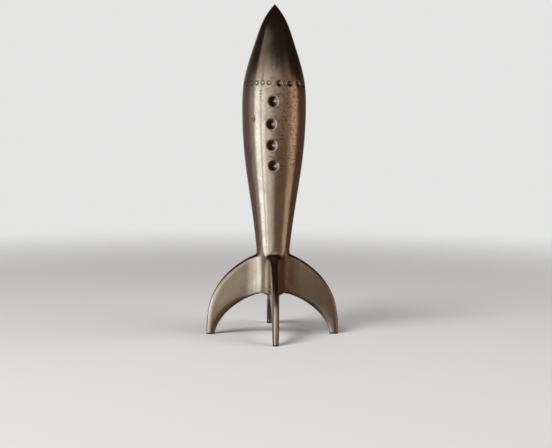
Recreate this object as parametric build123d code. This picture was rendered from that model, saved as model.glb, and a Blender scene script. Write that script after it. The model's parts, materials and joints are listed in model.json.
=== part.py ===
from build123d import *
import os
from math import hypot, radians, sqrt, tan

# A cast metal rocket ornament. The hull is two hollow castings, a nose cone and a body, joined at a
# spigot by a ring of dished rivets. Four arched fins sit in a turned-down belt at its foot, and dowels
# hold them. Cups pressed into the body make the portholes.
#
# Millimetres. The origin is the middle of the footprint, on the surface that the pads stand on.
# +Z is up and -Y is the front. An azimuth is counted from the front towards +X, in degrees.

# Hull outline as (radius, height), from below the tip down to a stub that the foot is cut from
TIP_Z = 356.0
HULL_STATIONS = [
    (10.2, 342.5),
    (20.7, 316.5),
    (28.9, 290.5),
    (33.2, 270.5),
    (34.4, 250.0),
    (34.0, 224.5),
    (30.0, 180.5),
    (22.4, 129.0),
    (18.4, 96.5),
    (10.5, 30.0),
]
TIP_DIRECTION = (0.85, -0.9)
FOOT_DIRECTION = (-0.115, -1)
STUB_Z = 30.0
HULL_FOOT_Z = 46.3
WALL = 3.5
FLOOR_TOP_Z = 52.0
CAVITY_TOP_Z = 338.0
PLUG_R = 6.0
PLUG_HEAD_R = 7.4
PLUG_HEAD_T = 2.4

# Spigot joint between nose cone and body
SEAM_Z = 262.0
SPIGOT_TOP_Z = 280.0
SPIGOT_R = 29.0
SPIGOT_BORE_R = 26.2
LEDGE_T = 6.0
SOCKET_CLEARANCE = 1.0

# Dished rivets round the joint: a run of small ones to the left, a run of large ones to the right
RIVET_Z = 270.3
SMALL_RIVET = {"head_r": 2.95, "mouth_r": 2.5, "shank_r": 1.5, "clinch_r": 2.3}
SMALL_COUNT = 14
SMALL_FIRST = -12.5
SMALL_PITCH = -12.0
LARGE_RIVET = {"head_r": 4.15, "mouth_r": 3.7, "shank_r": 2.2, "clinch_r": 3.2}
LARGE_COUNT = 9
LARGE_FIRST = 6.1
LARGE_PITCH = 20.25
HEAD_FLOOR = 1.0
CLINCH_T = 1.2

# Porthole cups, as (height, azimuth) from the top one down
PORTHOLES = [(251.0, -4.4), (226.8, -7.5), (204.7, -6.7), (183.2, -3.3)]
CUP_HEAD_R = 6.95
CUP_MOUTH_R = 6.35
CUP_BODY_R = 5.9
CUP_HEAD_T = 2.2
CUP_FLOOR = 1.3
DRILL_POINT_ANGLE = 118.0

# Fins, modelled pointing along +X
FIN_NAMES = {"right": 0, "rear": 90, "left": 180, "front": 270}
FIN_TOP_Z = 97.0
FIN_TOE_R = 72.1
FIN_HEEL_R = 62.4
FIN_ROOT_T = 11.4
FIN_TOE_T = 7.4
FIN_EDGE_ROUND = 2.4
FIN_ROOT_FILLET = 8.0
SADDLE_T = 1.0
BLANK_ROOT_R = 5.0
BLANK_FOOT_R = 40.0
REACH = 100.0

# Dowels and foot pads
DOWEL_R = 2.0
DOWEL_LENGTH = 14.0
DOWEL_HEIGHTS = [58.0, 78.0]
DOWEL_CHAMFER = 0.5
DOWEL_SETBACK = 0.3
DRILL_LENGTH = 20.0
PAD_T = 1.5


def upright_face(*edges):
    """Face in the XZ plane, drawn as (radius, height)."""
    return Plane.XZ * make_face(list(edges))


def smooth_curve(points, start, end):
    """Spline through points that leaves and arrives along two directions."""
    return Spline(*points, tangents=[start, end], tangent_scalars=[1, 1])


def turned(*edges):
    """Solid turned about Z, with the seam of its faces at -X."""
    return Rot(0, 0, 180) * revolve(upright_face(*edges), Axis.Z)


def slab(face, half_width):
    """Upright face thickened equally to both sides of the XZ plane."""
    return extrude(Pos(0, half_width, 0) * face, amount=2 * half_width)


def disc(radius, low_z, high_z):
    """Solid cylinder about Z between two heights."""
    return Pos(0, 0, (low_z + high_z) / 2) * Cylinder(radius, high_z - low_z)


def layer(low_z, high_z):
    """Block wider than the whole object between two heights."""
    return Pos(0, 0, (low_z + high_z) / 2) * Box(2 * REACH, 2 * REACH, high_z - low_z)


def radial(shape, azimuth, height):
    """Lay a shape that was built along +Z outwards along an azimuth, at a height."""
    return Pos(0, 0, height) * Rot(0, 0, azimuth) * Rot(90, 0, 0) * shape


def hull_curve():
    return smooth_curve([(0, TIP_Z), *HULL_STATIONS], TIP_DIRECTION, FOOT_DIRECTION)


def hull_solid():
    """Hull outline turned solid, down to the stub."""
    curve = hull_curve()
    return turned(curve, Line(curve @ 1, (0, STUB_Z)), Line((0, STUB_Z), (0, TIP_Z)))


def inner_solid(inset):
    """Hull moved towards its axis by an inset, with a domed top inside the nose."""
    stations = [(r - inset, z) for r, z in HULL_STATIONS[1:]]
    curve = smooth_curve([(0, CAVITY_TOP_Z), *stations], (1, 0), FOOT_DIRECTION)
    return turned(curve, Line(curve @ 1, (0, STUB_Z)), Line((0, STUB_Z), (0, CAVITY_TOP_Z)))


def hull_radius(height):
    """Radius of the hull's surface at a height."""
    level = hull_curve().intersect(Line((0, height), (REACH, height)))
    return level.vertices()[0].X if isinstance(level, ShapeList) else level.X


def cone_depth(mouth_r):
    return mouth_r / tan(radians(DRILL_POINT_ANGLE / 2))


def drill_point(surface_r, mouth_r):
    """Cone that sinks into a surface at surface_r, and widens on outside it."""
    depth = cone_depth(mouth_r)
    extra = 2 * depth
    cone = Cone(0, mouth_r * (depth + extra) / depth, depth + extra)
    return Pos(0, 0, surface_r - depth + (depth + extra) / 2) * cone


# Rivets

def rivet_head_depth(rivet):
    return cone_depth(rivet["mouth_r"]) + HEAD_FLOOR


def rivet_hole(rivet, surface_r):
    """Counterbored hole for one rivet, along +Z."""
    seat = surface_r - rivet_head_depth(rivet)
    return disc(rivet["head_r"], seat, REACH) + disc(rivet["shank_r"], 0, seat)


def rivet_solid(rivet, surface_r):
    """Rivet along +Z, clinched inside the spigot, before its head is cut to the hull."""
    seat = surface_r - rivet_head_depth(rivet)
    head = disc(rivet["head_r"], seat, surface_r + 2)
    clinch_seat = sqrt(SPIGOT_BORE_R**2 - rivet["clinch_r"] ** 2)
    shank = disc(rivet["shank_r"], clinch_seat, seat)
    clinch = disc(rivet["clinch_r"], clinch_seat - CLINCH_T, clinch_seat)
    return head + shank + clinch - drill_point(surface_r, rivet["mouth_r"])


def rivet_azimuths():
    small = [SMALL_FIRST + SMALL_PITCH * i for i in range(SMALL_COUNT)]
    large = [LARGE_FIRST + LARGE_PITCH * i for i in range(LARGE_COUNT)]
    return small, large


def rivets(rivet, azimuths, hull):
    surface_r = hull_radius(RIVET_Z)
    one = rivet_solid(rivet, surface_r)
    return Compound([solid_of(radial(one, azimuth, RIVET_Z) & hull) for azimuth in azimuths])


def rivet_holes():
    surface_r = hull_radius(RIVET_Z)
    small, large = rivet_azimuths()
    holes = [radial(rivet_hole(SMALL_RIVET, surface_r), azimuth, RIVET_Z) for azimuth in small]
    holes += [radial(rivet_hole(LARGE_RIVET, surface_r), azimuth, RIVET_Z) for azimuth in large]
    return holes


# Portholes

def porthole_hole(height):
    """Stepped hole for one cup, along +Z."""
    seat = hull_radius(height) - CUP_HEAD_T
    return disc(CUP_HEAD_R, seat, REACH) + disc(CUP_BODY_R, 0, seat)


def porthole_cup(height, azimuth, hull):
    """Turned cup with a drill-point hollow, its face cut to the hull."""
    surface_r = hull_radius(height)
    seat = surface_r - CUP_HEAD_T
    back = surface_r - cone_depth(CUP_MOUTH_R) - CUP_FLOOR
    cup = disc(CUP_HEAD_R, seat, surface_r + 2) + disc(CUP_BODY_R, back, seat)
    cup -= drill_point(surface_r, CUP_MOUTH_R)
    return solid_of(radial(cup, azimuth, height) & hull)


# Fins

def fin_outer_curve():
    points = [(10, 88), (21.5, 86), (40, 75.2), (58.5, 56), (67.8, 37), (FIN_TOE_R, PAD_T)]
    return smooth_curve(points, (1, -0.02), (0, -1))


def fin_inner_curve():
    points = [(FIN_HEEL_R, PAD_T), (59.3, 13), (46.3, 28.5), (31.9, 38.9), (16, 45.2), (-1, HULL_FOOT_Z)]
    return smooth_curve(points, (-0.1, 1), (-1, 0))


def fin_blank():
    """Fin plate with its outer edge rounded, thinner towards the toe."""
    curve = fin_outer_curve()
    corners = [
        curve @ 1,
        (BLANK_FOOT_R, PAD_T),
        (BLANK_FOOT_R, STUB_Z),
        (BLANK_ROOT_R, STUB_Z),
        (BLANK_ROOT_R, 88),
        curve @ 0,
    ]
    outline = upright_face(curve, *[Line(a, b) for a, b in zip(corners, corners[1:])])
    half_root = FIN_ROOT_T / 2
    half_toe = FIN_TOE_T / 2
    taper = make_face(
        Polyline((0, -half_root), (FIN_TOE_R, -half_toe), (FIN_TOE_R, half_toe), (0, half_root), close=True)
    )
    plate = slab(outline, FIN_ROOT_T) & extrude(taper, amount=REACH)
    rim = [e for e in plate.edges() if abs(e.center().Y) > 1 and e.geom_type != GeomType.LINE]
    return fillet(rim, FIN_EDGE_ROUND)


def is_root_edge(edge):
    """True for an edge of the joint between fin and hull."""
    points = [edge @ t for t in (0.2, 0.5, 0.8)]
    near_hull = max(hypot(p.X, p.Y) for p in points) < 22
    at_height = min(p.Z for p in points) > STUB_Z - 0.5 and max(p.Z for p in points) < 92
    return near_hull and at_height and points[1].X > 0 and edge.geom_type != GeomType.LINE


def is_arch_edge(edge, curve):
    """True for an edge along the arch under the fin, or round the foot of the hull."""
    for t in (0.1, 0.5, 0.9):
        point = edge @ t
        on_foot = point.X < 0 and abs(point.Z - HULL_FOOT_Z) < 0.02
        if not on_foot and curve.distance_to(Vertex(point.X, point.Z, 0)) > 0.02:
            return False
    across_heel = abs((edge @ 0.5).Y) < 0.01 and (edge @ 0.5).X > BLANK_FOOT_R
    across_foot = abs((edge @ 0).X + 1) < 0.01 and abs((edge @ 1).X + 1) < 0.01
    return not across_heel and not across_foot


def fin_on_hull(hull):
    """Hull and one fin blended together: the form that the fin and its saddle are cut from."""
    form = hull + fin_blank()
    form = fillet([e for e in form.edges() if is_root_edge(e)], FIN_ROOT_FILLET)
    curve = fin_inner_curve()
    corners = [curve @ 1, (-BLANK_FOOT_R, HULL_FOOT_Z), (-BLANK_FOOT_R, -1), (FIN_HEEL_R, -1), curve @ 0]
    arch = upright_face(curve, *[Line(a, b) for a, b in zip(corners, corners[1:])])
    form -= slab(arch, REACH)
    return fillet([e for e in form.edges() if is_arch_edge(e, curve)], FIN_EDGE_ROUND)


def fin_solid(hull):
    """Fin along +X with a quarter saddle that wraps the belt of the hull."""
    corner = Polyline((0, 0), (REACH, REACH), (REACH, -REACH), close=True)
    quarter = extrude(make_face(corner), amount=FIN_TOP_Z)
    fin = (fin_on_hull(hull) & quarter) - inner_solid(SADDLE_T)
    return solid_of(fin - [dowel_hole(height) for height in DOWEL_HEIGHTS])


def dowel(height):
    """Dowel along +X, its inner end just short of the inside of the hull."""
    pin = chamfer(Cylinder(DOWEL_R, DOWEL_LENGTH).edges(), DOWEL_CHAMFER)
    inner_end = hull_radius(height) - WALL + DOWEL_SETBACK
    return Pos(inner_end + DOWEL_LENGTH / 2, 0, height) * Rot(0, 90, 0) * pin


def dowel_hole(height):
    """Hole for a dowel, drilled from inside the hull to the dowel's outer end."""
    outer_end = hull_radius(height) - WALL + DOWEL_SETBACK + DOWEL_LENGTH
    hole = Cylinder(DOWEL_R, DRILL_LENGTH)
    return Pos(outer_end - DRILL_LENGTH / 2, 0, height) * Rot(0, 90, 0) * hole


def foot_pad(fin):
    """Pad with the outline of the foot's sole."""
    sole = fin.faces().sort_by(Axis.Z)[0]
    return solid_of(extrude(sole, amount=PAD_T, dir=(0, 0, -1)))


# Hull castings and plug

def nose_cone(hull):
    nose = hull & layer(SEAM_Z, TIP_Z + 1)
    nose -= inner_solid(WALL)
    nose -= disc(SPIGOT_R, SEAM_Z, SPIGOT_TOP_Z + SOCKET_CLEARANCE)
    return solid_of(nose - rivet_holes())


def body_shell(hull):
    body = hull & layer(HULL_FOOT_Z, SEAM_Z)
    body = fillet(body.edges().group_by(Axis.Z)[0], FIN_EDGE_ROUND)
    belt = layer(STUB_Z, FIN_TOP_Z) - inner_solid(SADDLE_T)
    body -= belt
    body += disc(SPIGOT_R, SEAM_Z, SPIGOT_TOP_Z)
    body -= inner_solid(WALL) & layer(FLOOR_TOP_Z, SEAM_Z - LEDGE_T)
    body -= disc(SPIGOT_BORE_R, SEAM_Z - LEDGE_T, SPIGOT_TOP_Z)
    holes = rivet_holes()
    holes += [radial(porthole_hole(height), azimuth, height) for height, azimuth in PORTHOLES]
    for turn in FIN_NAMES.values():
        holes += [Rot(0, 0, turn) * dowel_hole(height) for height in DOWEL_HEIGHTS]
    return solid_of(body - plug() - holes)


def plug():
    """Turned plug that closes the bore in the hull's floor."""
    head = disc(PLUG_HEAD_R, HULL_FOOT_Z, HULL_FOOT_Z + PLUG_HEAD_T)
    return head + disc(PLUG_R, HULL_FOOT_Z + PLUG_HEAD_T, FLOOR_TOP_Z)


def solid_of(shape):
    """The one solid in a shape."""
    solids = shape.solids()
    assert len(solids) == 1, f"expected one solid, got {len(solids)}"
    return solids[0]


def build():
    hull = hull_solid()
    small, large = rivet_azimuths()
    nodes = {
        "nose_cone": nose_cone(hull),
        "body_shell": body_shell(hull),
        "small_rivets": rivets(SMALL_RIVET, small, hull),
        "large_rivets": rivets(LARGE_RIVET, large, hull),
        "base_plug": solid_of(plug()),
    }
    for number, (height, azimuth) in enumerate(PORTHOLES, start=1):
        nodes[f"porthole_cup_{number}"] = porthole_cup(height, azimuth, hull)
    fin = fin_solid(hull)
    pad = foot_pad(fin)
    dowels = Compound([solid_of(dowel(height)) for height in DOWEL_HEIGHTS])
    for name, turn in FIN_NAMES.items():
        nodes[f"{name}_fin"] = Rot(0, 0, turn) * fin
        nodes[f"{name}_fin_dowels"] = Rot(0, 0, turn) * dowels
        nodes[f"{name}_foot_pad"] = Rot(0, 0, turn) * pad
    return nodes


os.makedirs("parts", exist_ok=True)
for node, shape in build().items():
    export_step(shape, f"parts/{node}.step")
    print(node, round(shape.volume), shape.is_valid)
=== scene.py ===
import json
import math
import bmesh
import bpy
import numpy as np
from mathutils import Matrix, Vector


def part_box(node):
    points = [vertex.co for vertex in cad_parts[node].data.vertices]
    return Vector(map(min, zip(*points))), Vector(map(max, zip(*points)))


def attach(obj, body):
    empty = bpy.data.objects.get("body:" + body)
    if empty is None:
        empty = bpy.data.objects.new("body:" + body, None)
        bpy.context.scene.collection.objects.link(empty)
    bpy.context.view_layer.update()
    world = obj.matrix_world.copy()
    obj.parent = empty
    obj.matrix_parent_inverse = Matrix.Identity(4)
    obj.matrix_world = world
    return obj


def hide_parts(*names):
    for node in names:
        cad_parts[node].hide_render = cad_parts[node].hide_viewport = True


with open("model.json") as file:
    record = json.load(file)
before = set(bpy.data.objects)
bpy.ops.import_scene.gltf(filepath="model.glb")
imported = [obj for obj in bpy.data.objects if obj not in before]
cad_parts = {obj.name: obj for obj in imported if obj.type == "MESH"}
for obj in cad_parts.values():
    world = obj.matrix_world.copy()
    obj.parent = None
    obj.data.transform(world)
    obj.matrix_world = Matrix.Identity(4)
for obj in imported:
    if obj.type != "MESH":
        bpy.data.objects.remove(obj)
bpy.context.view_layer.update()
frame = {"nodes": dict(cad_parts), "record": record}
scene = bpy.context.scene
mm = 0.001
print("frame loaded")


class Wire:        # an output socket that can be used in sums
    def __init__(self, board, socket):
        self.board = board
        self.socket = socket

    def __add__(self, other):
        return self.board.maths("ADD", self, other)

    def __sub__(self, other):
        return self.board.maths("SUBTRACT", self, other)

    def __rsub__(self, other):
        return self.board.maths("SUBTRACT", other, self)

    def __mul__(self, other):
        return self.board.maths("MULTIPLY", self, other)

    def __truediv__(self, other):
        return self.board.maths("DIVIDE", self, other)

    def __rtruediv__(self, other):
        return self.board.maths("DIVIDE", other, self)

    def __pow__(self, other):
        return self.board.maths("POWER", self, other)

    def __rpow__(self, other):
        return self.board.maths("POWER", other, self)

    __radd__ = __add__
    __rmul__ = __mul__


class Board:       # the nodes of one material or world
    def __init__(self, tree):
        self.tree = tree
        tree.nodes.clear()

    def add(self, kind, settings=None, sockets=None, output=0):
        node = self.tree.nodes.new(kind)
        for key, value in (settings or {}).items():
            if key == "stops":
                self.setStops(node.color_ramp, value)
            else:
                setattr(node, key, value)
        for key, value in (sockets or {}).items():
            if isinstance(value, Wire):
                self.tree.links.new(value.socket, node.inputs[key])
            else:
                node.inputs[key].default_value = value
        return Wire(self, node.outputs[output]) if node.outputs else node

    def setStops(self, ramp, stops):
        while len(ramp.elements) < len(stops):
            ramp.elements.new(1)
        for element, (place, colour) in zip(ramp.elements, stops):
            element.position = place
            element.color = (*colour, 1)

    def maths(self, operation, first, second=0.0, clamp=False):
        settings = {"operation": operation, "use_clamp": clamp}
        return self.add("ShaderNodeMath", settings, {0: first, 1: second})

    def ease(self, value, low, high, start=0.0, end=1.0):
        # smooth step from start to end as value goes from low to high
        settings = {"interpolation_type": "SMOOTHSTEP"}
        return self.add("ShaderNodeMapRange", settings, {0: value, 1: low, 2: high, 3: start, 4: end})

    def mix(self, factor, first, second):
        first, second = [(*c, 1) if isinstance(c, tuple) and len(c) == 3 else c for c in (first, second)]
        return self.add("ShaderNodeMix", {"data_type": "RGBA"}, {0: factor, 6: first, 7: second}, 2)

    def scaled(self, vector, factors):
        return self.add("ShaderNodeVectorMath", {"operation": "MULTIPLY"}, {0: vector, 1: factors})

    def split(self, vector):
        outputs = self.add("ShaderNodeSeparateXYZ", {}, {0: vector}).socket.node.outputs
        return [Wire(self, outputs[axis]) for axis in "XYZ"]

    def bearing(self, x, y):
        # degrees round from the front, to the right
        return self.maths("ARCTAN2", x, y * -1) * math.degrees(1)

    def noise(self, vector, size, detail=2.0, rough=0.5, distortion=0.0):
        # size is the width of a blob, in metres
        sockets = {"Vector": vector, "Scale": 1 / size, "Detail": detail, "Roughness": rough}
        sockets["Distortion"] = distortion
        return self.add("ShaderNodeTexNoise", {}, sockets)


def newMaterial(name):
    material = bpy.data.materials.new(name)
    material.use_nodes = True
    return material, Board(material.node_tree)


# marks on the hull's front, in degrees round from the front and millimetres up; pairs are soft edges
markLook = {
    "left": (-24, -6), "right": (38, 64), "low": (158, 192), "high": (262, 292),
    "ragged": 34, "raggedSize": 13 * mm,        # how far the area's edge wanders, and over what length
    "dentAzimuth": -28.3, "dentPitch": 3.1, "dentEdge": (0.45, 1.0),
    "dentLow": (252, 253), "dentHigh": (264, 265),
    "patchAzimuth": -42, "patchHeight": 233,
    "patchFall": (0.24, 0.2), "patchEdge": (0.3, 1.3), "patchRagged": 3,
}
degreeWidth = 0.59      # millimetres on the hull's widest part


def bodyMarks(board, place):
    # where the hull's front is rough cast, and two marks on its left: a row of dents and a pitted patch
    look = markLook
    x, y, z = board.split(place)
    angle = board.bearing(x, y)
    height = z / mm

    ragged = (board.noise(place, look["raggedSize"], 3) - 0.5) * look["ragged"]
    rough = board.ease(angle + ragged, *look["right"], 1, 0) * board.ease(angle + ragged, *look["left"])
    rough = rough * board.ease(height + ragged, *look["low"])
    rough = rough * board.ease(height + ragged, *look["high"], 1, 0)

    aside = (angle - look["dentAzimuth"]) * degreeWidth
    above = (board.maths("FRACT", height / look["dentPitch"]) - 0.5) * look["dentPitch"]
    dents = board.ease(board.maths("SQRT", aside**2 + above**2), *look["dentEdge"], 1, 0)
    dents = dents * board.ease(height, *look["dentLow"]) * board.ease(height, *look["dentHigh"], 1, 0)

    aside = (angle - look["patchAzimuth"]) * look["patchFall"][0]
    above = (height - look["patchHeight"]) * look["patchFall"][1]
    edge = (board.noise(place, 2 * mm, 2) - 0.5) * look["patchRagged"]
    patch = board.ease(aside**2 + above**2 + edge, *look["patchEdge"], 1, 0)
    return rough, dents, patch


def castMetal(name, look):
    # satin polished cast metal under a thin brown film, with pits and polishing scratches; the fins' and
    # dishes' attributes add painted shade to its dark
    material, board = newMaterial(name)
    place = board.add("ShaderNodeTexCoord", output="Object")

    film = board.ease(board.noise(place, look["filmSize"], 5, 0.6, 0.4), *look["filmEdge"])
    mottle = board.noise(place, look["mottleSize"], 4, 0.62, 0.3)
    zone = board.ease(board.noise(place, look["zoneSize"], 2), *look["zoneEdge"]) * look["spread"]
    streak = board.noise(board.scaled(place, (9, 9, 1)), look["streakSize"], 3, 0.6)
    sweep = board.noise(board.scaled(place, (1, 1, 9)), look["sweepSize"], 3, 0.6)
    cells = board.add("ShaderNodeTexVoronoi", {}, {"Vector": place, "Scale": 1 / look["pitSpacing"]})
    pits = board.ease(cells, *look["pitEdge"], 1, 0)
    pits = pits * board.ease(board.noise(place, look["pitArea"], 2), *look["pitAreaEdge"])
    if look["marks"]:
        rough, dents, patch = bodyMarks(board, place)
        zone = board.maths("MAXIMUM", zone, rough)
        pits = board.maths("MAXIMUM", pits * zone, patch * board.ease(mottle, 0.3, 0.5)) * look["pits"]
        pits = board.maths("MAXIMUM", pits, dents)
    else:
        pits = pits * zone * look["pits"]
    wave = board.noise(place, look["waveSize"], 1)

    height = (
        wave * look["wave"]
        + mottle * zone * look["mottle"]
        + streak * look["streak"]
        + sweep * (zone * 0.8 + 0.2) * look["sweep"]
        - pits * look["pitDepth"]
    )
    bump = board.add("ShaderNodeBump", {}, {"Strength": 1.0, "Distance": mm, "Height": height})

    stain = board.ease(mottle, *look["stainEdge"]) * zone * look["stain"]
    if look["marks"]:
        band = board.noise(board.scaled(place, (1, 1, 3.5)), look["bandSize"], 3, 0.6)
        band = board.ease(band, *look["bandEdge"]) * rough * look["band"]
        stain = board.maths("MAXIMUM", stain, band)
    dirtAndShade = board.maths("MAXIMUM", board.maths("MAXIMUM", pits * 0.8, film * look["film"]), stain)
    # the fins' tarnish attribute holds brown tarnish and painted shade in their coves and under their
    # arches
    if look["tarnish"]:
        tarnish = board.add("ShaderNodeAttribute", {"attribute_name": "tarnish"}, output="Fac")
        dirtAndShade = board.maths("MAXIMUM", dirtAndShade, tarnish * (mottle * 0.7 + film * 0.2 + 0.6) * look["tarnish"])
    if look["hollow"]:
        # painted shade and dirt in a dish's hollow, darker at its left, and its dark joint; bare on its lip
        hollow = board.add("ShaderNodeAttribute", {"attribute_name": "hollow"}, output="Fac")
        lip = board.add("ShaderNodeAttribute", {"attribute_name": "lip"}, output="Fac")
        hollow = board.maths("ADD", hollow * 1.3, mottle * 0.5 - 0.25, clamp=True) * look["hollow"]
        dirtAndShade = board.maths("MAXIMUM", dirtAndShade, hollow) * (1 - lip * 0.85)
    colour = board.mix(board.ease(streak, 0.3, 0.7), look["light"], look["warm"])
    colour = board.mix(zone * 0.55, colour, look["brown"])
    # the dark colour goes on pits, film, stains, tarnish and the painted shade from the fin and dish
    # attributes
    colour = board.mix(dirtAndShade, colour, look["dark"])
    gloss = look["rough"] + zone * 0.05 + board.ease(sweep, 0.35, 0.65) * 0.02 + dirtAndShade * look["dull"]

    surface = board.add("ShaderNodeBsdfPrincipled", {}, {
        "Base Color": colour,
        "Metallic": 1.0,
        "Roughness": gloss,
        "Normal": bump,
    })
    board.add("ShaderNodeOutputMaterial", {}, {"Surface": surface})
    return material


# colours are linear; the heights of wave, mottle, sweep, streak and pits are in millimetres
hullLook = {
    "light": (0.70, 0.61, 0.51),
    "warm": (0.65, 0.56, 0.45),
    "brown": (0.64, 0.47, 0.34),
    "dark": (0.11, 0.07, 0.042),
    "rough": 0.15, "dull": 0.16,
    "film": 0.22, "filmSize": 34 * mm, "filmEdge": (0.48, 0.72),
    "mottle": 0.085, "mottleSize": 2.6 * mm, "stain": 0.62, "stainEdge": (0.5, 0.7),
    "band": 0.6, "bandSize": 9 * mm, "bandEdge": (0.54, 0.68),
    "wave": 0.14, "waveSize": 21 * mm,
    "sweep": 0.055, "sweepSize": 11 * mm, "streak": 0.014, "streakSize": 13 * mm,
    "pits": 1.0, "pitSpacing": 2.6 * mm, "pitDepth": 0.07, "pitEdge": (0.12, 0.34),
    "pitArea": 5 * mm, "pitAreaEdge": (0.34, 0.5),
    "spread": 0.35, "zoneSize": 24 * mm, "zoneEdge": (0.42, 0.6),      # its brown and pitted zones
    "marks": True, "hollow": 0, "tarnish": 0,
}
plainLook = dict(hullLook, marks=False, spread=0.5, pits=0.4, pitArea=8 * mm, pitAreaEdge=(0.52, 0.68))
finLook = dict(plainLook, rough=0.2, wave=0.12, mottle=0.012, stain=0.15, streak=0.004, sweep=0.004)
finLook["tarnish"] = 1
dishLook = dict(plainLook, dark=(0.07, 0.045, 0.028), rough=0.2, dull=0.2, wave=0.0, mottle=0.01, hollow=1)
plugLook = dict(plainLook, wave=0.0, mottle=0.01)


def feltBlack(name, look):
    material, board = newMaterial(name)
    place = board.add("ShaderNodeTexCoord", output="Object")
    fibre = board.noise(place, 0.35 * mm, 4, 0.7, 1.0)
    tuft = board.noise(place, 2.5 * mm, 3)
    colour = board.mix(board.ease(fibre, 0.35, 0.7), look["dark"], look["light"])
    height = fibre * 0.12 + tuft * 0.1
    bump = board.add("ShaderNodeBump", {}, {"Strength": 1.0, "Distance": mm, "Height": height})
    surface = board.add("ShaderNodeBsdfPrincipled", {}, {
        "Base Color": colour, "Roughness": 0.9 + tuft * 0.08, "Sheen Weight": 0.15, "Normal": bump,
    })
    board.add("ShaderNodeOutputMaterial", {}, {"Surface": surface})
    return material


def groundSteel(name, look):
    material, board = newMaterial(name)
    place = board.add("ShaderNodeTexCoord", output="Object")
    grain = board.noise(board.scaled(place, (2, 2, 12)), 2 * mm, 3, 0.6)
    bump = board.add("ShaderNodeBump", {}, {"Strength": 1.0, "Distance": mm, "Height": grain * 0.01})
    surface = board.add("ShaderNodeBsdfPrincipled", {}, {
        "Base Color": board.mix(grain, look["dark"], look["light"]), "Metallic": 1.0,
        "Roughness": 0.25 + grain * 0.15, "Normal": bump,
    })
    board.add("ShaderNodeOutputMaterial", {}, {"Surface": surface})
    return material


materials = {
    "hull_metal": castMetal("hullMetal", hullLook),
    "fin_metal": castMetal("finMetal", finLook),
    "cup_metal": castMetal("cupMetal", dishLook),
    "rivet_metal": castMetal("rivetMetal", dishLook),
    "plug_metal": castMetal("plugMetal", plugLook),
    "dowel_steel": groundSteel("dowelSteel", {"dark": (0.4, 0.4, 0.41), "light": (0.66, 0.66, 0.67)}),
    "pad_rubber": feltBlack("padFelt", {"dark": (0.008, 0.008, 0.008), "light": (0.03, 0.028, 0.026)}),
}
slotOf = {row["node"]: row["material_slot"] for row in frame["record"]["subparts"]}
for node, piece in frame["nodes"].items():
    piece.data.materials.clear()
    piece.data.materials.append(materials[slotOf[node]])
print("materials made")


# radii and heights on the hull between the fins and the nose, in metres
hullStations = [(radius * mm, height * mm) for radius, height in (
    (20.7, 316.5), (28.9, 290.5), (33.2, 270.5), (34.4, 250),
    (34, 224.5), (30, 180.5), (22.4, 129), (18.4, 96.5),
)]


def hullRadius(z):
    # cubic through the four stations round a height
    order = sorted(hullStations, key=lambda station: abs(station[1] - z))[:4]
    total = 0
    for r, h in order:
        share = r
        for _, other in order:
            if other != h:
                share *= (z - other) / (h - other)
        total += share
    return total


def easeStep(value, low, high):
    # 0 before low, 1 after high and smooth between them; low may be the greater
    u = min(max((value - low) / (high - low), 0), 1)
    return u * u * (3 - 2 * u)


def smoothLower(a, b, blend):
    # the lower of two heights, rounded where they meet
    near = max(blend - abs(a - b), 0) / blend
    return min(a, b) - near * near * blend / 4


# for every dish: its mesh, where its joint with the hull starts, and how dark its shank is
everyDish = {"rings": 22, "steps": 56, "jointFrom": 0.9, "shank": 0.3}


def dish(build, azimuth, z, look):
    # a turned piece whose face follows the hull, with a drill-point hollow in it
    angle = math.radians(azimuth)
    out = Vector((math.sin(angle), -math.cos(angle), 0))
    side = Vector((math.cos(angle), math.sin(angle), 0))
    crown = hullRadius(z)
    slope = 1 / math.tan(math.radians(look["point"] / 2))
    depth = look["mouth"] * slope
    steps = everyDish["steps"]
    rings = [look["head"] * ((i + 1) / everyDish["rings"]) for i in range(everyDish["rings"])]
    first = len(build["points"])

    def put(ring, turn, distance, hollow, lip=0.0):
        across = side * (ring * math.cos(turn))
        rise = ring * math.sin(turn)
        build["points"].append(out * distance + across + Vector((0, 0, z + rise)))
        build["hollow"].append(hollow)
        build["lip"].append(lip)

    def face(ring, turn):
        across = ring * math.cos(turn)
        local = hullRadius(z + ring * math.sin(turn))
        skin = math.sqrt(local * local - across * across)
        cone = crown - depth + math.hypot(ring * slope, look["tip"])
        return smoothLower(skin, cone, look["round"])

    put(0, 0, face(0, 0), look["core"])
    for ring in rings:
        share = ring / look["mouth"]
        # painted shade and dirt in the hollow: the wall's value easing to the middle's, fading out towards
        # the mouth
        shade = look["shade"] + (look["core"] - look["shade"]) * easeStep(share, 0.72, 0.42)
        shade *= min(1, (1 - min(share, 1)) * 4)
        joint = look["joint"] if ring > everyDish["jointFrom"] * look["head"] else 0
        lip = math.exp(-(((ring - look["mouth"]) / look["bare"]) ** 2))
        for j in range(steps):
            turn = 2 * math.pi * j / steps
            # painted shade, darker at the left side and lighter at the right
            leftShade = 1 - look["leftShade"] * math.cos(turn)
            put(ring, turn, face(ring, turn), max(shade * leftShade, joint), lip)
    for ring, drop in look["below"]:
        for j in range(steps):
            put(ring, 2 * math.pi * j / steps, crown - drop, everyDish["shank"])
    put(0, 0, crown - look["below"][-1][1], everyDish["shank"])

    rows = len(rings) + len(look["below"])
    last = len(build["points"]) - 1
    for j in range(steps):
        k = (j + 1) % steps
        build["faces"].append((first, first + 1 + j, first + 1 + k))
        for i in range(rows - 1):
            a = first + 1 + i * steps
            build["faces"].append((a + j, a + steps + j, a + steps + k, a + k))
        a = first + 1 + (rows - 1) * steps
        build["faces"].append((last, a + k, a + j))


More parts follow.
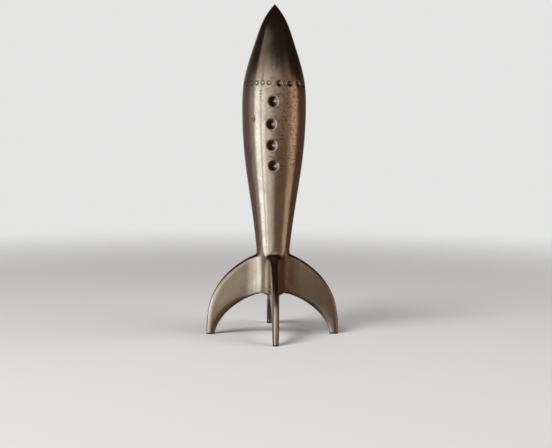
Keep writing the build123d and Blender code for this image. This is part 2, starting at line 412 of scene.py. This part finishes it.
def dishesMesh(name, spots, look):
    build = {"points": [], "faces": [], "hollow": [], "lip": []}
    for azimuth, z in spots:
        dish(build, azimuth, z, look)
    mesh = bpy.data.meshes.new(name)
    mesh.from_pydata(build["points"], [], build["faces"])
    for key in ("hollow", "lip"):
        mesh.attributes.new(key, "FLOAT", "POINT").data.foreach_set("value", build[key])
    return mesh


def showPiece(name, mesh, slotName, node, sharp=None):
    mesh.shade_smooth()
    if sharp:
        mesh.set_sharp_from_angle(angle=math.radians(sharp))
    mesh.materials.append(materials[slotName])
    piece = bpy.data.objects.new(name, mesh)
    scene.collection.objects.link(piece)
    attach(piece, "root")
    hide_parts(node)


def spotOf(node):
    # azimuth and height of a cup, from its box in the frame
    low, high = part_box(node)
    middle = (Vector(low) + Vector(high)) / 2
    return math.degrees(math.atan2(middle.x, -middle.y)), middle.z


# radii of the hollow and the head, the lip's rounding, the hollow's rounded tip and its angle, the dirt and
# painted shade on its wall and in its middle, how dark its joint is, how much painted shade darkens its
# left side, how wide its bare lip is, and the radii and depths of the shank below the head
cupLook = {
    "mouth": 6.2 * mm, "head": 6.9 * mm, "round": 1.1 * mm, "tip": 0.4 * mm, "point": 118,
    "shade": 0.72, "core": 0.6, "joint": 0, "leftShade": 0.3, "bare": 1.1 * mm,
    "below": [(6.9 * mm, 2.2 * mm), (5.85 * mm, 2.2 * mm), (5.85 * mm, 5.1 * mm)],
}
smallLook = {
    "mouth": 2.35 * mm, "head": 2.9 * mm, "round": 0.6 * mm, "tip": 0.8 * mm, "point": 132,
    "shade": 0.95, "core": 0, "joint": 0.8, "leftShade": 0, "bare": 0.15 * mm,
    "below": [(2.9 * mm, 2.5 * mm), (1.45 * mm, 2.5 * mm), (1.45 * mm, 7.5 * mm)],
}
largeLook = {
    "mouth": 3.5 * mm, "head": 4.1 * mm, "round": 0.8 * mm, "tip": 0.5 * mm, "point": 120,
    "shade": 0.8, "core": 0.5, "joint": 0.5, "leftShade": 0.25, "bare": 0.7 * mm,
    "below": [(4.1 * mm, 3.2 * mm), (2.15 * mm, 3.2 * mm), (2.15 * mm, 8 * mm)],
}
rivetHeight = 270.3 * mm
smallRun = {"first": -12.5, "pitch": -12, "count": 14}      # degrees round from the front
largeRun = {"first": 6.1, "pitch": 20.25, "count": 9}


def runSpots(run):
    return [(run["first"] + run["pitch"] * i, rivetHeight) for i in range(run["count"])]


for number in range(1, 5):
    name, node = f"porthole{number}", f"porthole_cup_{number}"
    showPiece(name, dishesMesh(name, [spotOf(node)], cupLook), "cup_metal", node)
smallDishes = dishesMesh("smallRivets", runSpots(smallRun), smallLook)
largeDishes = dishesMesh("largeRivets", runSpots(largeRun), largeLook)
showPiece("smallRivets", smallDishes, "rivet_metal", "small_rivets")
showPiece("largeRivets", largeDishes, "rivet_metal", "large_rivets")
print("dishes made")


def along(points, count):
    # count + 1 points spread evenly along a smooth curve through points
    points = [np.array(p, float) for p in points]
    gaps = [np.linalg.norm(b - a) for a, b in zip(points, points[1:])]
    places = np.concatenate([[0], np.cumsum(gaps)])
    slopes = []
    for i in range(len(points)):
        a = max(i - 1, 0)
        b = min(i + 1, len(points) - 1)
        slopes.append((points[b] - points[a]) / (places[b] - places[a]))
    result = []
    for step in range(count + 1):
        place = places[-1] * step / count
        i = min(int(np.searchsorted(places, place, "right")) - 1, len(gaps) - 1)
        u = (place - places[i]) / gaps[i]
        start = points[i] * (2 * u**3 - 3 * u**2 + 1) + slopes[i] * gaps[i] * (u**3 - 2 * u**2 + u)
        end = points[i + 1] * (3 * u**2 - 2 * u**3) + slopes[i + 1] * gaps[i] * (u**3 - u**2)
        result.append(start + end)
    return result


def quarterRound(distance, reach, least):
    # share of the full thickness at a distance from an edge that is rounded over reach
    u = 1 - min(max(distance / reach, 0), 1)
    return least + (1 - least) * math.sqrt(1 - u * u)


def between(pair, share):
    return pair[0] + (pair[1] - pair[0]) * share


# the fin seen from its side, as millimetres out from the axis and up
finShape = {
    "beltTop": 97, "foot": 46.3,
    "ridge": [
        (18.45, 97), (18.1, 94), (17.8, 91), (18.3, 88.4), (20.5, 86.8), (24.5, 85), (31, 81.4),
        (40, 75.2), (50, 66.4), (58.6, 56), (64.2, 46), (67.9, 37), (70.8, 23), (71.9, 11), (72.1, 1.5),
    ],
    "arch": [
        (13, 45.9), (18, 44.3), (24.5, 41.6), (31.5, 38.2), (39, 33.4), (46.3, 27.7), (53, 21),
        (58.6, 13), (61.6, 6.5), (62.9, 1.5),
    ],
    "rootHalf": 5.15, "toeHalf": 3.4, "taper": 1.2, "reach": 72.1,
    "outer": (22, 50),      # from where to where the blade changes from its root's form to its tip's
    "ridgeRound": (4, 5.4), "ridgeEdge": (0.36, 0.12),      # how deep, and how thick at the edge
    # after the arch's rounding: painted shade along the arch, how dark it is, and the millimetres from the
    # arch where it starts and where it is full
    "archRound": (3.4, 8), "archShade": 0.32, "archShadeReach": (17, 3),
    "footRound": 2.4, "footEdge": 0.86, "footGone": (9.5, 15),
    "beltFade": 11, "weld": 2, "saddle": 1, "sharp": 50,
    "rootColumns": 12, "columns": 110, "rows": 46, "across": 4,
    "turns": {"right": 0, "rear": 90, "left": 180, "front": 270},
}


def footRound(z):
    # the hull's radius is drawn in at its very foot
    return quarterRound(z - finShape["foot"], finShape["footRound"], finShape["footEdge"])


def finHalf(x, z, toRidge, toArch):
    # half the thickness of the fin and its saddle at a place in its side view
    shape = finShape
    drawn = (1 - footRound(z)) * (1 - easeStep(x, *shape["footGone"]))
    hull = hullRadius(z * mm) / mm * (1 - drawn)
    flat = between((shape["rootHalf"], shape["toeHalf"]), (x / shape["reach"]) ** shape["taper"])
    skin = math.sqrt(max(hull * hull - x * x, 0))
    # a cove from the fin's side to the diagonal, where it meets the next fin's
    centre = (hull - flat) / (math.sqrt(2) - 1)
    cove = flat
    if x < centre:
        cove = centre - math.sqrt(max((centre - flat) ** 2 - (centre - x) ** 2, 0))
    far = easeStep(x, *shape["outer"])
    ridgeEdge = between(shape["ridgeEdge"], far)
    ridgeRound = quarterRound(toRidge, between(shape["ridgeRound"], far), ridgeEdge)
    archEdge = 1 - 0.3 * easeStep(x, 12, 16) - 0.48 * far
    archRound = quarterRound(toArch, between(shape["archRound"], far), archEdge)
    share = easeStep(z, shape["beltTop"], shape["beltTop"] - shape["beltFade"])
    plate = (skin + (cove - skin) * share) * ridgeRound * archRound
    if x > hull * 0.98:
        plate = cove * share * ridgeRound * archRound
    blend = min(shape["weld"], toRidge + 0.01) * easeStep(x, hull * 0.75, hull * 0.95) + 0.001
    return -smoothLower(-skin, -plate, blend)


def faceOutwards(mesh):
    work = bmesh.new()
    work.from_mesh(mesh)
    bmesh.ops.recalc_face_normals(work, faces=work.faces)
    work.to_mesh(mesh)
    work.free()


def tarnishAndShadeAt(x, y, z):
    # brown tarnish on the front right quarter, growing lower down, and darker at the left fin's foot;
    # painted shade in the coves by the hull, strong in the front right quarter and thin on the left;
    # millimetres
    quarter = easeStep(x, -1, 4) * easeStep(-y, -1, 3)
    lower = easeStep(z, 92, 50)
    # the cove term is painted shade in the hollow where two fins meet the hull
    cove = easeStep(math.hypot(x, y), 28, 18) * easeStep(z, 92, 84)
    foot = easeStep(z, 44, 10) * easeStep(-x, 50, 60) * easeStep(-x, 70, 65)
    film = max(quarter * max(0.1 + 0.34 * lower, cove * (0.76 + 0.14 * lower)), 0.4 * foot)
    return max(film, 0.16 * cove * easeStep(-x, -1, 4))


def finMesh(name, turn):
    shape = finShape
    rows, across, rootColumns = shape["rows"], shape["across"], shape["rootColumns"]
    ridge = along(shape["ridge"], shape["columns"])
    arch = along(shape["arch"], shape["columns"])
    belt = hullRadius(shape["beltTop"] * mm) / mm
    foot = hullRadius(shape["foot"] * mm) / mm
    upper, lower = [], []
    for i in range(rootColumns):
        angle = math.radians(45 * (1 - i / rootColumns))
        upper.append(np.array((belt * math.cos(angle), shape["beltTop"])))
        share = i / rootColumns
        heel = foot * math.sqrt(0.5) * footRound(shape["foot"])
        lower.append(np.array((heel * (1 - share) + 13 * share, shape["foot"] - 0.4 * share**2)))
    upper += ridge
    lower += arch
    columns = len(upper)
    points, faces, archShades, number = [], [], [], {}

    def put(key, x, y, z, film=0.0):
        number[key] = len(points)
        points.append((x, y, z))
        archShades.append(film)

    ridgeLine = np.array(ridge)
    archLine = np.array(lower)
    for i in range(columns):
        for j in range(rows + 1):
            share = 0.5 - 0.5 * math.cos(math.pi * j / rows)
            x, z = lower[i] * (1 - share) + upper[i] * share
            if i == 0:
                x = hullRadius(z * mm) / mm * math.sqrt(0.5) * footRound(z)
            toRidge = float(np.min(np.hypot(ridgeLine[:, 0] - x, ridgeLine[:, 1] - z)))
            toArch = float(np.min(np.hypot(archLine[:, 0] - x, archLine[:, 1] - z)))
            y = finHalf(x, z, toRidge, toArch)
            if i < rootColumns and j == rows:
                y = math.sqrt(belt * belt - x * x)
            if i == 0:
                y = x
            # painted shade that darkens the blade near its arch
            film = shape["archShade"] * easeStep(toArch, *shape["archShadeReach"])
            put((i, j, 1), x, y, z, film)
            put((i, j, -1), x, -y, z, film)
    for i in range(columns - 1):
        for j in range(rows):
            a, b, c, d = [(i, j), (i + 1, j), (i + 1, j + 1), (i, j + 1)]
            faces.append([number[(*k, 1)] for k in (d, c, b, a)])
            faces.append([number[(*k, -1)] for k in (a, b, c, d)])

    # the strips along the ridge and under the arch that join the two sides
    for edge, row in (("ridge", rows), ("arch", 0)):
        for i in range(rootColumns, columns):
            near = np.array(points[number[(i, row, 1)]])
            far = np.array(points[number[(i, row, -1)]])
            for k in range(across + 1):
                if k == 0 or k == across:
                    number[(edge, i, k)] = number[(i, row, 1 if k == 0 else -1)]
                else:
                    put((edge, i, k), *(near + (far - near) * k / across))
        for i in range(rootColumns, columns - 1):
            for k in range(across):
                loop = [(edge, i, k), (edge, i + 1, k), (edge, i + 1, k + 1), (edge, i, k + 1)]
                loop = loop if edge == "ridge" else loop[::-1]
                faces.append([number[key] for key in loop])
    last = columns - 1
    sole = [number[(last, j, 1)] for j in range(rows + 1)]
    sole += [number[("ridge", last, k)] for k in range(1, across)]
    sole += [number[(last, j, -1)] for j in range(rows, -1, -1)]
    sole += [number[("arch", last, k)] for k in range(across - 1, 0, -1)]
    faces.append(sole)

    # the saddle's inside, a millimetre under the hull's surface, and the faces round it
    def border(edge, row):
        keys = [number[(i, row, 1)] for i in range(rootColumns)]
        keys += [number[(edge, rootColumns, k)] for k in range(across + 1)]
        return keys + [number[(i, row, -1)] for i in range(rootColumns - 1, -1, -1)]

    top = border("ridge", rows)
    count = len(top)
    for j in range(rows + 1):
        z = points[number[(0, j, 1)]][2]
        inner = (hullRadius(z * mm) / mm - shape["saddle"]) * footRound(z)
        for k in range(count):
            angle = math.radians(45 - 90 * k / (count - 1))
            put(("inside", j, k), inner * math.cos(angle), inner * math.sin(angle), z)
    for j in range(rows):
        for k in range(count - 1):
            loop = [("inside", j, k), ("inside", j, k + 1), ("inside", j + 1, k + 1), ("inside", j + 1, k)]
            faces.append([number[key] for key in loop[::-1]])
    for outer, row, flip in ((top, rows, 1), (border("arch", 0), 0, -1)):
        for k in range(count - 1):
            loop = [outer[k], number[("inside", row, k)], number[("inside", row, k + 1)], outer[k + 1]]
            faces.append(loop[::flip])
    for side, k, flip in ((1, 0, 1), (-1, count - 1, -1)):
        for j in range(rows):
            loop = [number[(0, j, side)], number[(0, j + 1, side)]]
            loop += [number[("inside", j + 1, k)], number[("inside", j, k)]]
            faces.append(loop[::-flip])

    mesh = bpy.data.meshes.new(name)
    mesh.from_pydata([tuple(c * mm for c in p) for p in points], [], faces)
    mesh.transform(Matrix.Rotation(math.radians(turn), 4, "Z"))
    faceOutwards(mesh)
    # the tarnish attribute takes the tarnish or the painted shade near the arch, whichever is greater
    values = [max(tarnishAndShadeAt(*(v.co / mm)), film) for v, film in zip(mesh.vertices, archShades)]
    mesh.attributes.new("tarnish", "FLOAT", "POINT").data.foreach_set("value", values)
    outline = [points[n] for n in sole]
    return mesh, outline


# the pad's edge, as shares of the sole's outline and millimetres up
padEdge = [(0.94, 0), (0.99, 0.12), (1.0, 0.4), (1.0, 1.15), (0.985, 1.42), (0.95, 1.5)]


def padMesh(name, outline, turn):
    middle = np.mean([p[:2] for p in outline], axis=0)
    points, faces = [], []
    count = len(outline)
    for scale, z in padEdge:
        for p in outline:
            x, y = middle + (np.array(p[:2]) - middle) * scale
            points.append((x * mm, y * mm, z * mm))
    for level in range(len(padEdge) - 1):
        a = level * count
        for k in range(count):
            n = (k + 1) % count
            faces.append((a + k, a + count + k, a + count + n, a + n))
    faces.append(tuple(range(count)))
    faces.append(tuple(range(len(points) - 1, len(points) - 1 - count, -1)))
    mesh = bpy.data.meshes.new(name)
    mesh.from_pydata(points, [], faces)
    mesh.transform(Matrix.Rotation(math.radians(turn), 4, "Z"))
    mesh.update()
    return mesh


for name, turn in finShape["turns"].items():
    mesh, outline = finMesh(name + "Fin", turn)
    pad = padMesh(name + "Pad", outline, turn)
    showPiece(name + "Fin", mesh, "fin_metal", name + "_fin", finShape["sharp"])
    showPiece(name + "Pad", pad, "pad_rubber", name + "_foot_pad", finShape["sharp"])
print("fins and pads made")


# metres; the floor fades into the backdrop from solid to gone
floorLook = {"size": 6, "solid": 0.4, "gone": 1.5, "colour": (0.8, 0.795, 0.785, 1), "rough": 0.75}


def layFloor():
    size = floorLook["size"]
    mesh = bpy.data.meshes.new("floor")
    corners = [(-size, -size, 0), (size, -size, 0), (size, size, 0), (-size, size, 0)]
    mesh.from_pydata(corners, [], [(0, 1, 2, 3)])
    floor = bpy.data.objects.new("floor", mesh)
    scene.collection.objects.link(floor)
    material, board = newMaterial("floorPaint")
    place = board.add("ShaderNodeTexCoord", output="Object")
    distance = board.add("ShaderNodeVectorMath", {"operation": "LENGTH"}, {0: place}, 1)
    surface = board.add("ShaderNodeBsdfPrincipled", {}, {
        "Base Color": floorLook["colour"],
        "Roughness": floorLook["rough"],
        "Alpha": board.ease(distance, floorLook["solid"], floorLook["gone"], 1, 0),
    })
    board.add("ShaderNodeOutputMaterial", {}, {"Surface": surface})
    mesh.materials.append(material)
    floor.visible_glossy = False        # the metal mirrors the room, not the floor


# lamps that light the floor and cast the shadow, and aren't mirrored in the metal
lamps = [
    {"name": "key", "place": (-0.9, -0.8, 1.5), "size": 0.9, "power": 26, "colour": (1, 0.985, 0.96)},
    {"name": "fill", "place": (1.1, -0.4, 1.3), "size": 1.4, "power": 12, "colour": (0.97, 0.98, 1)},
]


def hangLamps():
    for look in lamps:
        data = bpy.data.lights.new(look["name"], "AREA")
        data.shape = "DISK"
        data.size = look["size"]
        data.energy = look["power"]
        data.color = look["colour"]
        lamp = bpy.data.objects.new(look["name"], data)
        lamp.location = look["place"]
        lamp.rotation_euler = (-Vector(look["place"])).to_track_quat("-Z", "Y").to_euler()
        lamp.visible_glossy = False
        scene.collection.objects.link(lamp)


# the room that the metal mirrors, later boxes over earlier ones: degrees round from the front, degrees up,
# and how soft the edges are sideways and upwards
studio = {
    "room": {"around": (-400, 400), "up": (-100, 100), "soft": (1, 1), "colour": (0.018, 0.011, 0.007)},
    "ground": {"around": (-400, 400), "up": (-200, -43), "soft": (1, 7), "colour": (0.075, 0.062, 0.051)},
    "haze": {"around": (-80, -22), "up": (0, 34), "soft": (10, 12), "colour": (0.55, 0.47, 0.43)},
    "left": {"around": (-400, -76), "up": (-34, 18), "soft": (12, 12), "colour": (0.138, 0.112, 0.095)},
    "near": {"around": (-101, -74), "up": (-30, 16), "soft": (10, 12), "colour": (0.32, 0.295, 0.27)},
    "far": {"around": (88, 400), "up": (-34, 12), "soft": (10, 10), "colour": (0.085, 0.058, 0.045)},
    "right": {"around": (2, 64), "up": (-34, 30), "soft": (8, 8), "colour": (0.22, 0.17, 0.135)},
    "lowRight": {"around": (2, 66), "up": (-40, -6), "soft": (8, 4), "colour": (0.155, 0.11, 0.078)},
    "glow": {"around": (47, 70), "up": (-12, 22), "soft": (7, 7), "colour": (0.3, 0.21, 0.155)},
    "strip": {"around": (62, 89), "up": (-24, 15), "soft": (8, 7), "colour": (0.66, 0.5, 0.41)},
    "lowStrip": {"around": (64, 86), "up": (-34, -13), "soft": (6, 4), "colour": (0.48, 0.345, 0.262)},
    "beam": {"around": (-6, 25), "up": (0, 31), "soft": (8, 8), "colour": (0.35, 0.31, 0.27)},
    "wall": {"around": (-44, 2), "up": (-27, 34), "soft": (4.5, 8), "colour": (0.42, 0.39, 0.35)},
    "shine": {"around": (-8, 12), "up": (12, 27), "soft": (7, 6), "colour": (0.52, 0.46, 0.42)},
    "pale": {"around": (-46, -14), "up": (-28, 26), "soft": (9, 9), "colour": (0.74, 0.73, 0.69)},
    "window": {"around": (-77, -40), "up": (-34, 13), "soft": (6, 15), "colour": (1.55, 1.65, 1.74)},
    "bar": {"around": (-52.5, -48), "up": (-40, 27), "soft": (1, 6), "colour": (0.08, 0.08, 0.075)},
    "behindLeft": {"around": (-400, -158), "up": (-34, 30), "soft": (8, 8), "colour": (0.42, 0.41, 0.4)},
    "behindRight": {"around": (158, 400), "up": (-34, 30), "soft": (8, 8), "colour": (0.42, 0.41, 0.4)},
}
backdropColour = (0.78, 0.78, 0.775)


def lightStudio():
    world = bpy.data.worlds.new("studio")
    world.use_nodes = True
    scene.world = world
    board = Board(world.node_tree)
    way = board.add("ShaderNodeTexCoord", output="Generated")
    x, y, z = board.split(way)
    around = board.bearing(x, y)
    up = board.maths("ARCSINE", z) * math.degrees(1)
    colour = (0, 0, 0)
    for box in studio.values():
        start, end = box["around"]
        low, high = box["up"]
        soft, fade = box["soft"]
        mask = board.ease(around, start - soft, start + soft)
        mask = mask * board.ease(around, end - soft, end + soft, 1, 0)
        mask = mask * board.ease(up, low - fade, low + fade)
        mask = mask * board.ease(up, high - fade, high + fade, 1, 0)
        colour = board.mix(mask, colour, box["colour"])
    seen = board.add("ShaderNodeLightPath", output="Is Camera Ray")
    colour = board.mix(seen, colour, backdropColour)
    light = board.add("ShaderNodeBackground", {}, {"Color": colour, "Strength": 1.0})
    board.add("ShaderNodeOutputWorld", {}, {"Surface": light})


# metres and degrees; side is how far the aim is right of the axis
view = {
    "distance": 1.05, "azimuth": -2.9, "height": 0.198,
    "aim": 0.1203, "side": 0.003,
    "lens": 63.2, "sensor": 36, "roll": 0.43,
}


def placeCamera():
    angle = math.radians(view["azimuth"])
    stand = Vector((math.sin(angle), -math.cos(angle), 0)) * view["distance"]
    stand.z = view["height"]
    aim = Vector((math.cos(angle), math.sin(angle), 0)) * view["side"]
    aim.z = view["aim"]
    data = bpy.data.cameras.new("camera")
    data.lens = view["lens"]
    data.sensor_width = view["sensor"]
    camera = bpy.data.objects.new("camera", data)
    turn = (aim - stand).to_track_quat("-Z", "Y").to_matrix().to_4x4()
    roll = Matrix.Rotation(math.radians(view["roll"]), 4, "Z")
    camera.matrix_world = Matrix.Translation(stand) @ turn @ roll
    scene.collection.objects.link(camera)
    scene.camera = camera


layFloor()
hangLamps()
lightStudio()
placeCamera()
scene.view_settings.view_transform = "Standard"
print("floor, light and camera placed")
